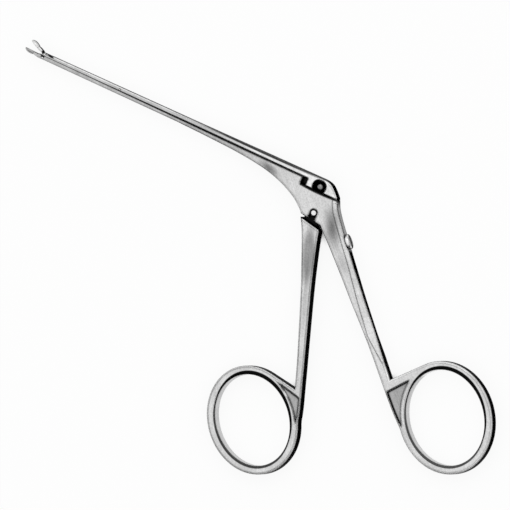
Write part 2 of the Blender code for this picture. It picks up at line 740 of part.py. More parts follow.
head = rod("screw_head", SCREW_HEAD / 2, (-SCREW_RISE, SCREW_SINK - SEAT_FIT), (0.0, 0.0))
head_round = head.modifiers.new("round", "BEVEL")
head_round.width = SCREW_RISE * 0.45
head_round.segments = 3
head_round.limit_method = "ANGLE"
baked(head)
head.data.transform(SCREW_SEAT)
join(screw, head)
driver = box(
    "screw_slot",
    (-SCREW_HEAD, SCREW_HEAD),
    (-SCREW_SLOT / 2, SCREW_SLOT / 2),
    (-SCREW_RISE * 2, -SCREW_RISE * 0.5),
)
driver.data.transform(SCREW_SEAT)
cut(screw, driver)
finish(screw, "rear_screw", steel("screw_steel", 0.78, 0.25))

# Slider
top_rear = SLIDER_REAR - BLOCK_ROUND
block_height = SLIDER_TOP_REAR - BLOCK_FLOOR
rear_shares = [(1.0, 0.0), (0.95, 0.17), (0.68, 0.57), (0.45, 0.84), (0.22, 0.96), (0.0, 1.0)]
rear_slope = along(
    [(top_rear + BLOCK_ROUND * run, BLOCK_FLOOR + block_height * rise) for run, rise in rear_shares], 3
)
nose_top = -JAW_PIVOT_AHEAD
nose_low = nose_top - 0.55 * MM
slider_bottom = BLOCK_FLOOR - SLIDER_ROUND * 2
slider_outline = (
    [Vector((SLIDER_REAR, slider_bottom))]
    + rear_slope
    + [Vector((nose_top, SLIDER_TOP_FRONT))]
    + [Vector((nose_low, PARTING))]
    + [Vector((nose_low, slider_bottom))]
)
slider = flare(plate("slider", [slider_outline], BLOCK_THICKNESS, SLIDER_ROUND), BLOCK_THICKNESS)
block_front = -SEAT_FRONT + BLOCK_GAP
past_jaws = -SHAFT_FRONT * 1.1
under_slim = (0.0, PARTING + SLIDE_GAP)
under_block = (0.0, BLOCK_FLOOR + SLIDE_GAP)
cut(slider, box("slider_face", (past_jaws, block_front), under_slim, (LOW, HIGH)))
cut(slider, box("block_face", (past_jaws, 2 * SLIDER_REAR), under_block, (LOW, HIGH)))
join(
    slider,
    box(
        "rib",
        (rib_front, block_front + 0.5 * MM),
        (PARTING - RIB_DROP, PARTING + 0.4 * MM),
        (MID - RIB / 2, MID + RIB / 2),
    ),
)
BALL_PLACE = Vector((-BALL_AHEAD, BALL_HEIGHT))
cut(slider, rod("ball_socket", BALL / 2 + SOCKET_FIT, (LOW, HIGH), BALL_PLACE, 40))
block_top = MID + BLOCK_THICKNESS / 2
block_under = MID - BLOCK_THICKNESS / 2
for name, z in (("upper", (block_top - MOUTH_DEPTH, HIGH)), ("under", (LOW, block_under + MOUTH_DEPTH))):
    cut(slider, rod("socket_mouth_" + name, SOCKET_MOUTH / 2, z, BALL_PLACE, 40))
for name, place in (("front", GUIDE_FRONT), ("rear", GUIDE_REAR)):
    centre = -place - STROKE / 2
    room = TENON_LENGTH / 2 + TENON_FIT
    cut(
        slider,
        box(
            "tenon_room_" + name,
            (centre - room, centre + room + STROKE),
            (0.0, TENON_TOP + TENON_FIT),
            (MID - TENON / 2 - TENON_FIT, MID + TENON / 2 + TENON_FIT),
        ),
    )
    spot = (-place, GUIDE_HEIGHT)
    cut(slider, rod("guide_hole_" + name, GUIDE_PIN / 2 + SEAT_FIT, (LOW, HIGH), spot, 20))
    pin = rod("guide_pin_" + name, GUIDE_PIN / 2, (MID - PIN_REACH, MID + PIN_REACH), spot, 20)
    finish(pin, "guide_pin_" + name, steel("guide_pin_steel_" + name, 0.7, 0.3))
cut(
    slider,
    box(
        "tail_slot",
        (past_jaws, DRIVE_PIN.x + TAIL_LOBE + 0.3 * MM),
        (0.0, 2 * PARTING),
        (MID - SLOT, MID + SLOT),
    ),
)
cut(slider, rod("drive_hole", JAW_PIN / 2 + SEAT_FIT, (LOW, HIGH), DRIVE_PIN, 20))
relief_rear = DRIVE_PIN.x + TAIL_LOBE + RELIEF_LENGTH
relief = [
    (DRIVE_PIN.x + TAIL_LOBE * 0.9, PARTING + RELIEF_RISE),
    (relief_rear, PARTING + RELIEF_RISE),
    (relief_rear + RELIEF_SLOPE, SLIDER_TOP_FRONT + RELIEF_PAST),
    (DRIVE_PIN.x + TAIL_LOBE * 0.9, SLIDER_TOP_FRONT + RELIEF_PAST),
]
cut(slider, prism("relief_upper", relief, (MID + SHAFT_WIDTH / 2 - 0.3 * MM, HIGH)))
cut(slider, prism("relief_under", relief, (LOW, MID - SHAFT_WIDTH / 2 + 0.3 * MM)))
finish(slider, "slider", steel("slider_steel", 0.82, 0.26))

# Jaw pins
for name, place in (("jaw_pivot_pin", JAW_PIVOT), ("jaw_drive_pin", DRIVE_PIN)):
    pin = rod(name, JAW_PIN / 2, (MID - PIN_REACH, MID + PIN_REACH), place, 20)
    finish(pin, name, steel(name + "_steel", 0.7, 0.3))

# Upper jaw, made closed and turned open about its pivot.
upper_jaw = jaw("upper_jaw", 1, upper_root)
swing = Vector((-JAW_ARM * math.tan(JAW_OPEN / 2), JAW_ARM))
lobe = Ellipse((0.0, 0.0), (TAIL_LOBE, TAIL_LOBE), 0.0)
drive_lobe = Ellipse(swing, (TAIL_LOBE, TAIL_LOBE), 0.0)
tail = lobe.arc(math.radians(-200), 0.0, True, 8) + drive_lobe.arc(0.0, math.radians(126), True, 7)
tail += [
    Vector((-ROOT_LENGTH - 0.35 * MM, ROOT_HEIGHT + ROOT_DEPTH * 0.9)),
    Vector((-ROOT_LENGTH - 0.35 * MM, ROOT_HEIGHT + ROOT_DEPTH * 0.1)),
]
join(upper_jaw, prism("tail", tail, (MID - TAIL / 2, MID + TAIL / 2)))
cut(upper_jaw, rod("tail_hole", JAW_PIN / 2 + PIN_FIT, (LOW, HIGH), (0.0, 0.0), 20))
tail_slot = obround(swing, JAW_PIN / 2 + PIN_FIT, 0.06 * MM, swing)
cut(upper_jaw, prism("drive_slot", tail_slot, (LOW, HIGH)))
finish(upper_jaw, "upper_jaw", steel("jaw_steel", 0.72, 0.28), PIVOT + JAW_PIVOT.to_3d(), -JAW_OPEN)

# Finger handle, with the tongue and the ball that drive the slider.
finger_outline = ring_handle(finger_shank, 6, finger_ring, anticlockwise=True)
finger_outline = clip([finger_outline[-1]] + finger_outline, shoulder)
finger_hole = finger_opening.arc(0.0, 2 * math.pi, True, RING_STEPS)[:-1]
finger = plate("finger_handle", [finger_outline, finger_hole], THICKNESS, HANDLE_ROUND)
root = shoulder(0.0) - TONGUE_ROOT
tongue = [
    (-TONGUE_FRONT * 0.5, root),
    (TONGUE_REAR, root),
    (TONGUE_REAR, TONGUE_SHOULDER),
    (-BALL_AHEAD + NECK / 2, BALL_HEIGHT - BALL * 0.3),
    (-BALL_AHEAD - NECK / 2, BALL_HEIGHT - BALL * 0.3),
    (-TONGUE_FRONT, TONGUE_SHOULDER),
    (-TONGUE_FRONT, shoulder(-TONGUE_FRONT)),
]
join(finger, plate("tongue", [tongue], TONGUE, 0.15 * MM))
join(finger, egg("ball", (BALL / 2, BALL / 2, BALL / 2), (BALL_PLACE.x, BALL_PLACE.y, MID)))
cut(finger, rod("pin_hole", PIVOT_PIN / 2 + SEAT_FIT, (LOW, HIGH), (0.0, 0.0)))
for solid, pocket in (
    (frame, web_pocket(thumb_opening, thumb_shank, 5, 4, THUMB_POCKET_REACH, False)),
    (finger, web_pocket(finger_opening, finger_shank, 6, 2, FINGER_POCKET_REACH, True)),
):
    cut(solid, prism("pocket_upper", pocket, (THICKNESS - WEB_POCKET, HIGH)))
    cut(solid, prism("pocket_under", pocket, (LOW, WEB_POCKET)))
finish(frame, "frame", steel("frame_steel", 0.74, 0.3))
finish(finger, "finger_handle", steel("handle_steel", 0.74, 0.3))
pin = rod("handle_pivot_pin", PIVOT_PIN / 2, (0.1 * MM, THICKNESS - 0.1 * MM), (0.0, 0.0), 28)
finish(pin, "handle_pivot_pin", steel("pin_steel", 0.8, 0.2))
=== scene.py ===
# %% [markdown]
# Ear polypus forceps: the finish of a small satin steel instrument
#
# The instrument is about 16 cm long and lies on its side. Every piece is stainless
# steel, so the looks rest on small differences: how bright each piece was buffed,
# which way the abrasive ran, and the painted shade on the walls, along the edges and
# in the crevices. All sizes come from the imported model, which this script loads
# and dresses.

# %% Load the imported model
import math

import bmesh
import bpy
from mathutils import Matrix, Vector
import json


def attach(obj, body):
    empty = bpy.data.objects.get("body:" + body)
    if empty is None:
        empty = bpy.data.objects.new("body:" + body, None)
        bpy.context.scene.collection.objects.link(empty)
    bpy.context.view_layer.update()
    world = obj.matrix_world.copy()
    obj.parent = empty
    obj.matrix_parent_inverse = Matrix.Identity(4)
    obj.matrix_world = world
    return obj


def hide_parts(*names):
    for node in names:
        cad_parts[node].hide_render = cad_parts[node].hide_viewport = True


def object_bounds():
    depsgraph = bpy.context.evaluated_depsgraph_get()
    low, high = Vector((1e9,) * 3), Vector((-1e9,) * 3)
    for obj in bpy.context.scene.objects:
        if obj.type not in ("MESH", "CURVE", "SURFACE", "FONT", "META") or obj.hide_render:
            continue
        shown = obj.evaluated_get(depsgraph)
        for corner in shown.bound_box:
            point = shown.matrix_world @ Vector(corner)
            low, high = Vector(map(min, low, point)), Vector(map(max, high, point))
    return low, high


MM = 0.001

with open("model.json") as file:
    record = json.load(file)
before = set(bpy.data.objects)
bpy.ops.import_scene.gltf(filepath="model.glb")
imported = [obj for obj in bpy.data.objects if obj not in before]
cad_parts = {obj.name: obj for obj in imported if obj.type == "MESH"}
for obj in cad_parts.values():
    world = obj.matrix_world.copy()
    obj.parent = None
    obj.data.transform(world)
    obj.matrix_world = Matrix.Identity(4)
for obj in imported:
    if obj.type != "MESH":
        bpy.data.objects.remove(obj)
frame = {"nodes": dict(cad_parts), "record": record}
cad_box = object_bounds()
cad_size = cad_box[1] - cad_box[0]
print("CAD box in mm:", [round(side / MM, 1) for side in cad_size])

# %% [markdown]
# Colours and nodes
#
# Colours are written as sRGB hex, as a paint program shows them, while the shader
# works in linear light. One function turns one into the other. A second function
# adds any node with its settings and its links, so each finish below reads as a
# short list of steps. An even passage from one value to another is a Map Range node
# with the setting below: its inputs are the value, the range that it uses, and what
# that range becomes, which is 0 to 1 where nothing is said.


# %% Helpers for colours and nodes
EVEN = {"interpolation_type": "SMOOTHSTEP"}


def colour(code):
    """A linear colour from an sRGB hex code."""
    channels = [int(code[i : i + 2], 16) / 255 for i in (1, 3, 5)]
    linear = [c / 12.92 if c <= 0.04045 else ((c + 0.055) / 1.055) ** 2.4 for c in channels]
    return (*linear, 1.0)


def add(tree, kind, inputs, **settings):
    """Add a node; an input takes a plain value, or the node or output that feeds it."""
    made = tree.nodes.new("ShaderNode" + kind)
    for name, value in settings.items():
        setattr(made, name, value)
    for name, value in inputs.items() if isinstance(inputs, dict) else enumerate(inputs):
        if isinstance(value, bpy.types.Node):
            value = next(output for output in value.outputs if output.enabled)
        if isinstance(value, bpy.types.NodeSocket):
            tree.links.new(value, made.inputs[name])
        else:
            made.inputs[name].default_value = value
    return made


print("white in linear light:", [round(c, 3) for c in colour("#FFFFFF")])

# %% [markdown]
# Brushed satin: grain, patches and specks
#
# The blanks are forged from martensitic stainless steel, ground flat, brushed with
# a fine belt and buffed. That leaves a faint grain along each piece, soft patches
# from the wheel and fine specks. A picture of brushed steel would repeat and has no
# true size, so each of them is a noise whose scale comes from a size in millimetres,
# and changes the tone by a few per cent. Belt lines are about 0.03 mm apart, which
# is finer than a pixel here, so the grain is drawn about ten times coarser.

# %% Grain, patches and specks
GRAIN_WIDTH = 0.3 * MM               # across the belt lines
GRAIN_LENGTH = 7.0 * MM              # along them
CLOUD = 6.0 * MM                     # soft patches left by the buffing wheel
SPECK = 0.5 * MM                     # small uneven spots in the satin
GRAIN_RANGE = (0.2, 0.8)             # the part of the noise that is used
PATCH_RANGE = (0.3, 0.7)
GRAIN_TONE = (0.86, 1.06)            # darkest and brightest
CLOUD_TONE = (0.88, 1.05)
SPECK_TONE = (0.88, 1.08)


def satin(tree, place, grain_turn):
    """The grain of a brushed surface, and the tones of its grain, patches and specks."""
    turned = add(tree, "Mapping", {"Vector": place, "Rotation": (0, 0, -grain_turn)})
    stretch = (1 / GRAIN_LENGTH, 1 / GRAIN_WIDTH, 1 / GRAIN_WIDTH)
    stretched = add(tree, "Mapping", {"Vector": turned, "Scale": stretch})
    grain = add(tree, "TexNoise", {"Vector": stretched, "Scale": 1.0, "Detail": 3.0})
    cloud = add(tree, "TexNoise", {"Vector": place, "Scale": 1 / CLOUD, "Detail": 3.0})
    speck = add(tree, "TexNoise", {"Vector": place, "Scale": 1 / SPECK, "Detail": 4.0})
    tones = [
        add(tree, "MapRange", [noise, *used, *tone], **EVEN)
        for noise, used, tone in (
            (grain, GRAIN_RANGE, GRAIN_TONE),
            (cloud, PATCH_RANGE, CLOUD_TONE),
            (speck, PATCH_RANGE, SPECK_TONE),
        )
    ]
    return grain, tones


print("grain in mm:", round(GRAIN_WIDTH / MM, 2), "by", round(GRAIN_LENGTH / MM, 2))

# %% [markdown]
# Flats, walls and dark outlines
#
# The flats, the slopes beside them and the steep walls each get a colour of their own,
# as painted light and shade: the flats face the bright ceiling and are painted pale,
# and the walls face away from it and are painted dark. The two sides of the instrument
# are alike, so a flat is found from how level the surface is, whichever way up. Each
# edge gets a thin painted dark outline, a painted reflection of the dim parts of the
# room. The edges could be rounded for real, but that takes many small faces, and the
# solids have to keep their shape. The Bevel node tells the normal of a rounded edge
# without one: where that turns away from the true normal, an edge is close. The slim
# end of the instrument has finer edges, and so finer lines.

# %% Levels and outlines
FLAT_RANGE = (0.88, 0.97)            # upright part of the normal, from a slope to a flat
WALL_RANGE = (0.3, 0.65)             # and from a wall to a slope
RIM_RANGE = (0.955, 0.998)           # likeness of the two normals, from an edge to a face
RIM_SHADE = 0.03                     # what is left of the tone in a painted dark outline
SLIM_END = (-72.0 * MM, -20.0 * MM)  # along the shaft, from fine lines to full ones
FINE_LINE = 0.1 * MM
RAYS = 8                             # for the edges and the crevices


def levels(tree, spot, outline):
    """How level the surface is, and a painted shade that is dark along the edges."""
    normal = add(tree, "NewGeometry", {}).outputs["Normal"]
    upright = add(tree, "SeparateXYZ", [normal]).outputs["Z"]
    level = add(tree, "Math", [upright], operation="ABSOLUTE")
    widths = (min(outline, FINE_LINE), outline)
    reach = add(tree, "MapRange", [spot.outputs["X"], *SLIM_END, *widths], **EVEN)
    rounded = add(tree, "Bevel", {"Radius": reach}, samples=RAYS)
    alike = add(tree, "VectorMath", [normal, rounded], operation="DOT_PRODUCT")
    # Painted shade: a dark outline along the edges.
    painted_outline = add(tree, "MapRange", [alike, *RIM_RANGE, RIM_SHADE, 1.0], **EVEN)
    return level, painted_outline


print("an edge starts at", round(math.degrees(math.acos(RIM_RANGE[1])), 1), "degrees of turn")

# %% [markdown]
# Darker ovals, and painted light on the walls
#
# Long oval areas along a piece are painted darker. Some are only a darker tone, and
# most are painted shade: between the parts, round the pin and the ball, at the roots
# of the jaws, along the slider's back and down the finger shank. A few walls, such as
# the insides of the rings and the back of the body, are painted pale, as painted light
# on walls that face it. Both could be painted on the mesh by hand. Ovals given in
# millimetres are quicker to shift, and they stay in place when the piece moves. The
# darker ones lie on the flats and the slopes only.

# %% Ovals


def oval(tree, place, middle, turn, half_axes, soft, shade):
    """A tone of 1 that falls to a shade inside an oval area of the side of a piece."""
    local = add(
        tree,
        "Mapping",
        {
            "Vector": place,
            "Location": (middle[0] * MM, middle[1] * MM, 0),
            "Rotation": (0, 0, math.radians(turn)),
            "Scale": (half_axes[0] * MM, half_axes[1] * MM, 1),
        },
        vector_type="TEXTURE",
    )
    away = add(tree, "VectorMath", [local], operation="LENGTH")
    return add(tree, "MapRange", [away, soft, 1.0, shade, 1.0], **EVEN)


def dark_ovals_and_lit_walls(tree, place, level, ovals, lit_wall_areas):
    """The tone of the darker ovals, most of it painted shade, and where the walls are painted
    dark instead of pale.
    """
    tones = []
    for areas in (ovals, lit_wall_areas):
        tone = 1.0
        for area in areas:
            tone = add(tree, "Math", [tone, oval(tree, place, *area)], operation="MULTIPLY")
        tones.append(tone)
    darker_and_shaded, painted_wall_shade = tones
    walls = add(tree, "MapRange", [level, *WALL_RANGE, 1.0, 0.0], **EVEN)
    return add(tree, "Math", [darker_and_shaded, walls], operation="MAXIMUM"), painted_wall_shade


print("an oval takes a middle and half axes in mm, a turn in degrees, a soft edge and a shade")

# %% [markdown]
# Crevices, pockets and the inside of the joints
#
# Corners are painted darker, a painted shade where little light gets in. The faces
# deep inside the body's joints are painted nearly black, a painted shade in the gaps,
# and the pockets in the webs of the rings are painted a little darker, a painted shade
# in the hollows. Each face could have a material of its own, but a border between two
# would be hard. So corners are found with the Ambient Occlusion node, and the deep
# faces by their distance from the middle of the thickness.

# %% Crevices and deep faces
CREVICE = 1.0 * MM                   # reach of the painted shade in corners
CREVICE_RANGE = (0.3, 0.85)          # openness, from a corner to a free face
MIDDLE = 2.25 * MM                   # half the thickness of the instrument
# Painted shade: the deep faces inside the joints are painted nearly black.
DEEP_SHADE = 0.01
JOINTS = {                           # the joints start over these ranges
    "X": (-8.0 * MM, -6.5 * MM),
    "Y": (-14.0 * MM, -12.5 * MM),
}
POCKET_RANGE = (1.8 * MM, 2.1 * MM)  # from the middle, from a pocket's floor to a flat
POCKET_SHADE = 0.6
WEBS_TOP = (-33.0 * MM, -31.0 * MM)  # the pockets lie below this


def crevices(tree, spot, painted_lit_walls, deep, alone):
    """Painted shade of the pockets and of the crevices; alone leaves other pieces out of those.
    """
    height = add(tree, "Math", [spot.outputs["Z"], MIDDLE], operation="SUBTRACT")
    depth = add(tree, "Math", [height], operation="ABSOLUTE")
    edges = (deep[0] * MM, deep[1] * MM)
    inside = add(tree, "MapRange", [depth, *edges, DEEP_SHADE, 1.0], **EVEN)
    outside = [
        add(tree, "MapRange", [spot.outputs[axis], *ends, 1.0, 0.0], **EVEN)
        for axis, ends in JOINTS.items()
    ]
    for clear in (*outside, painted_lit_walls):
        inside = add(tree, "Math", [inside, clear], operation="MAXIMUM")
    above = add(tree, "MapRange", [spot.outputs["Y"], *WEBS_TOP], **EVEN)
    pocket = add(tree, "MapRange", [depth, *POCKET_RANGE, POCKET_SHADE, 1.0], **EVEN)
    pocket = add(tree, "Math", [pocket, above], operation="MAXIMUM")
    # Painted shade: darker towards the corners.
    corner = add(
        tree, "AmbientOcclusion", {"Distance": CREVICE}, samples=RAYS, only_local=alone
    )
    openness = add(tree, "MapRange", [corner.outputs["AO"], *CREVICE_RANGE], **EVEN)
    return pocket, add(tree, "Math", [inside, openness], operation="MULTIPLY")


print("crevices reach", round(CREVICE / MM, 2), "mm from a corner")

# %% [markdown]
# Satin stainless steel
#
# The pieces could have a material each, made by hand, but they are one steel, so one
# function joins the steps above and only its numbers differ. The colour goes from the
# wall to the slope and the flat as the surface gets more level, as painted light and
# shade, and every tone darkens it, the painted shade among them. At grazing angles its
# mirror is dimmed too, a painted shade, or else dark walls would shine there. The
# grain varies the roughness and gives a faint relief.

# %% The steel material
# Painted light: the pale colour of the walls that face the light.
LIT_WALL = "#FAFAFA"
WALL_MIRROR_SHADE = 0.12                    # painted shade: what is left of a wall's mirror at grazing angles
GRAIN_DEPTH = 0.002 * MM
GRAIN_RELIEF = 0.35
SMOOTHER, ROUGHER = 0.06, 0.08       # spread of the roughness over the grain
FIRST, SECOND = 6, 7                 # the colour inputs of a Mix node


def steel(
    name, flat, slope, wall, roughness, grain_turn, outline, deep, ovals=(), lit_wall_areas=()
):
    """Satin stainless steel, brushed along one direction in the plane of the piece."""
    material = bpy.data.materials.new(name)
    material.use_nodes = True
    tree = material.node_tree
    tree.nodes.clear()

    place = add(tree, "TexCoord", {}).outputs["Object"]
    spot = add(tree, "SeparateXYZ", [place])
    grain, tones = satin(tree, place, grain_turn)
    level, painted_outline = levels(tree, spot, outline)
    darker_and_shaded, painted_wall_shade = dark_ovals_and_lit_walls(tree, place, level, ovals, lit_wall_areas)
    # Painted light: where the walls are painted pale.
    painted_lit_walls = add(tree, "Math", [1.0, painted_wall_shade], operation="SUBTRACT")
    pocket, painted_crevice_shade = crevices(tree, spot, painted_lit_walls, deep, bool(lit_wall_areas))

    # Painted light and shade by facing: from the wall to the slope and the flat, darkened by
    # every tone, the painted shade among them.
    flatness = add(tree, "MapRange", [level, *FLAT_RANGE], **EVEN)
    lit_by_facing = add(tree, "MapRange", [level, *WALL_RANGE], **EVEN)
    face = {"Factor": flatness, FIRST: colour(slope), SECOND: colour(flat)}
    side = {"Factor": painted_wall_shade, FIRST: colour(LIT_WALL), SECOND: colour(wall)}
    face, side = [add(tree, "Mix", inputs, data_type="RGBA") for inputs in (face, side)]
    bare = add(
        tree, "Mix", {"Factor": lit_by_facing, FIRST: side, SECOND: face}, data_type="RGBA"
    )
    tone = painted_outline
    for layer in (*tones, darker_and_shaded, pocket, painted_crevice_shade):
        tone = add(tree, "Math", [tone, layer], operation="MULTIPLY")
    toned = add(tree, "VectorMath", {0: bare, "Scale": tone}, operation="SCALE")

    # Painted shade on the mirror: dimmed on the walls, along the edges and in the crevices,
    # full on the walls painted pale.
    upward = add(tree, "MapRange", [level, *WALL_RANGE, WALL_MIRROR_SHADE, 1.0], **EVEN)
    sheen = painted_outline
    for layer, join in ((upward, "MULTIPLY"), (painted_lit_walls, "MAXIMUM"), (painted_crevice_shade, "MULTIPLY")):
        sheen = add(tree, "Math", [sheen, layer], operation=join)
    tint = add(tree, "CombineXYZ", [sheen, sheen, sheen])

    spread = (roughness - SMOOTHER, roughness + ROUGHER)
    rough = add(tree, "MapRange", [grain, *GRAIN_RANGE, *spread], **EVEN)
    relief = add(
        tree, "Bump", {"Height": grain, "Strength": GRAIN_RELIEF, "Distance": GRAIN_DEPTH}
    )
    shader = add(
        tree,
        "BsdfPrincipled",
        {
            "Metallic": 1.0,
            "Base Color": toned,
            "Specular Tint": tint,
            "Roughness": rough,
            "Normal": relief,
        },
    )
    add(tree, "OutputMaterial", {"Surface": shader})
    return material


print("relief of the grain in mm:", round(GRAIN_DEPTH / MM, 4))

# %% [markdown]
# Where each piece is darker, painted shade or painted light
#
# These places were read from the photograph: the flare and the back of the body, the
# middle of the finger handle, the meeting line of the two shafts and the root of the
# jaws. The meeting lines, the roots and the middle of the finger handle are painted
# shade; the flare and the back of the body are only darker. The inner edges of a ring
# are painted dark at its top and its bottom, a painted shade that draws a dark
# crescent: the ring's opening again, a little shifted.

# %% Darker areas, painted shade and painted light
TURN = math.radians(24.15)           # of the picture about the view
SHADE_CRESCENTS = (                        # mm to the right and up in the picture, and shade
    (0.3, 0.7, 0.008),
    (-0.05, -0.4, 0.12),
)
CRESCENT_EDGE = 0.985                # where the soft edge starts

# Each area: middle in mm, turn in degrees, half axes in mm, soft edge, shade.
thumb_opening = ((62.9, -39.1), -49.0, (13.7, 11.2))
finger_opening = ((13.8, -62.0), -46.5, (13.2, 10.7))
frame_ovals = [
    ((-9.9, 2.6), -14.0, (4.8, 1.8), 0.0, 0.32),       # flare ahead of the block
    ((12.9, -4.8), -60.0, (8.5, 3.2), 0.0, 0.28),      # back of the body
    ((18.5, -11.5), -48.0, (7.0, 1.6), 0.1, 0.8),      # start of the thumb shank
    ((-55.0, 3.5), 0.0, (50.0, 9.0), 0.6, 0.72),       # lower shaft
    ((-42.0, 4.42), 0.0, (44.0, 0.25), 0.3, 0.5),      # painted shade in the line where the shafts meet
    ((5.4, 2.1), 0.0, (6.5, 0.5), 0.5, 0.1),           # painted shade in the same line under the block
    ((6.5, -3.4), 0.0, (1.1, 1.1), 0.92, 0.05),        # painted shade round the pin's notch
    ((-81.5, 4.7), -50.0, (1.1, 0.75), 0.6, 0.02),     # painted shade at the root of the lower jaw
]
handle_ovals = [
    ((9.9, -14.3), -70.1, (10.5, 2.3), 0.4, 0.47),     # painted shade, a reflection, down the top of the shank
    ((13.6, -24.9), -70.1, (13.0, 0.8), 0.4, 0.82),    # painted shade, a reflection, down the middle of the shank
    ((5.0, 3.65), 0.0, (1.6, 1.6), 0.9, 0.4),          # painted shade on the ball in its socket
]
slider_ovals = [
    ((-60.0, 4.9), 0.0, (50.0, 9.0), 0.6, 0.66),       # upper shaft
    ((-12.0, 5.94), 0.46, (26.0, 0.62), 0.5, 0.05),    # painted shade along its back, towards the block
    ((-42.0, 4.62), 0.0, (44.0, 0.22), 0.3, 0.5),      # painted shade in the line where the shafts meet
    ((5.4, 2.5), 0.0, (6.5, 0.3), 0.3, 0.2),           # painted shade in the same line under the block
    ((-79.5, 5.3), -12.0, (1.7, 0.5), 0.5, 0.02),      # painted shade in the fork at the jaw
]
jaw_ovals = [((-81.3, 5.1), -40.0, (1.3, 0.8), 0.6, 0.02)]  # painted shade at the root of the upper jaw
# Painted light: walls painted pale, inside the thumb ring and on the back of the body.
frame_lit_wall_areas = [
    (*thumb_opening, 0.97, 0.0),
    ((15.9, -1.8), -62.0, (9.5, 3.6), 0.75, 0.3),      # back wall of the body, painted light
]
handle_lit_wall_areas = [(*finger_opening, 0.97, 0.0)]

openings = ((thumb_opening, frame_ovals), (finger_opening, handle_ovals))
# Painted shade: a dark crescent at the top and the bottom of each ring's opening.
for (middle, turn, half_axes), ovals in openings:
    for right, up, shade in SHADE_CRESCENTS:
        x = middle[0] + right * math.cos(TURN) - up * math.sin(TURN)
        y = middle[1] + right * math.sin(TURN) + up * math.cos(TURN)
        ovals.append(((x, y), turn, half_axes, CRESCENT_EDGE, shade))
# Counts the darker areas, most of them painted shade.
print("dull areas:", sum(map(len, (frame_ovals, handle_ovals, slider_ovals, jaw_ovals))))

# %% [markdown]
# Six finishes of one steel
#
# The frame and the finger handle are brushed forgings, with their grain along the
# shanks. The slider is buffed brighter. The jaws are too small for a wide painted
# outline. The pins are turned, and their walls are painted near black, a painted
# shade round each pin; the screw is polished all over.

# %% Six finishes
SHAFT_GRAIN = 0.0
FINGER_GRAIN = math.radians(-70.0)
THUMB_GRAIN = math.radians(-46.0)
JOINT_DEPTH = (1.3, 1.6)             # mm from the middle, from a deep face to an outer one
# Painted shade: the steep walls are painted dark, as they face away from the light.
SHADED_WALL = "#3C3C3C"

brushed_frame = steel(
    "brushed_stainless_frame",
    flat="#E2E2E2",
    slope="#EAEAEA",
    wall=SHADED_WALL,
    roughness=0.3,
    grain_turn=THUMB_GRAIN,
    outline=1.05 * MM,
    deep=JOINT_DEPTH,
    ovals=frame_ovals,
    lit_wall_areas=frame_lit_wall_areas,
)
brushed_handle = steel(
    "brushed_stainless_handle",
    flat="#E2E2E2",
    slope="#DDDDDD",
    wall=SHADED_WALL,
    roughness=0.3,
    grain_turn=FINGER_GRAIN,
    outline=1.05 * MM,
    deep=(1.1, 1.35),
    ovals=handle_ovals,
    lit_wall_areas=handle_lit_wall_areas,
)
buffed_slider = steel(
    "buffed_stainless_slider",
    flat="#F8F8F8",
    slope="#FAFAFA",
    wall=SHADED_WALL,
    roughness=0.24,
    grain_turn=SHAFT_GRAIN,
    outline=0.7 * MM,
    deep=JOINT_DEPTH,
    ovals=slider_ovals,
)
buffed_jaw = steel(
    "buffed_stainless_jaw",
    flat="#E8E8E8",
    slope="#E8E8E8",
    wall="#7A7A7A",
    roughness=0.25,
    grain_turn=SHAFT_GRAIN,
    outline=0.12 * MM,
    deep=JOINT_DEPTH,
    ovals=jaw_ovals,
)
# Painted shade: near black walls and a wide dark outline round each pin.
turned_pin = steel(
    "turned_stainless_pin",
    flat="#F8F8F8",
    slope="#F8F8F8",
    wall="#0C0C0C",
    roughness=0.22,
    grain_turn=SHAFT_GRAIN,
    outline=0.5 * MM,
    deep=(0.6, 0.8),
)
turned_screw = steel(
    "turned_stainless_screw",
    flat="#FFFFFF",
    slope="#FFFFFF",
    wall="#F0F0F0",
    roughness=0.22,
    grain_turn=SHAFT_GRAIN,
    outline=0.9 * MM,
    deep=(0.1, 0.2),
)
print("steel materials:", len([m for m in bpy.data.materials if "stainless" in m.name]))

# %% [markdown]
# From the solids to smooth pieces
#
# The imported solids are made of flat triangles, each with its own corners. A buffed
# instrument has rounded edges that flow, so each solid is copied, its corners are
# welded, and the copy is shaded smooth up to a crease of 30 degrees. It could be
# modelled anew with fewer faces, but then the picture and the solids would differ.
# The copy takes the solid's place in the picture and moves with the same body.

# %% Dress each solid
CREASE = math.radians(30.0)
WELD = 0.0005 * MM                   # corners closer than this are one
LEVEL_ANGLE = math.radians(0.3)      # faces that turn less than this are one


def dress(node, body, material):
    """A smooth piece in the shape of a solid, in its own steel."""
    solid = frame["nodes"][node]
    mesh = bpy.data.meshes.new(node + "_smooth")
    bm = bmesh.new()
    bm.from_mesh(solid.data)
    bmesh.ops.remove_doubles(bm, verts=bm.verts, dist=WELD)
    bmesh.ops.dissolve_limit(bm, angle_limit=LEVEL_ANGLE, verts=bm.verts, edges=bm.edges)
    bm.to_mesh(mesh)
    bm.free()
    mesh.materials.clear()
    mesh.materials.append(material)
    mesh.shade_smooth()
    mesh.set_sharp_from_angle(angle=CREASE)
    piece = bpy.data.objects.new(node + "_piece", mesh)
    bpy.context.scene.collection.objects.link(piece)
    even = piece.modifiers.new("even_shading", "WEIGHTED_NORMAL")
    even.keep_sharp = True
    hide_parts(node)
    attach(piece, body)
    return piece


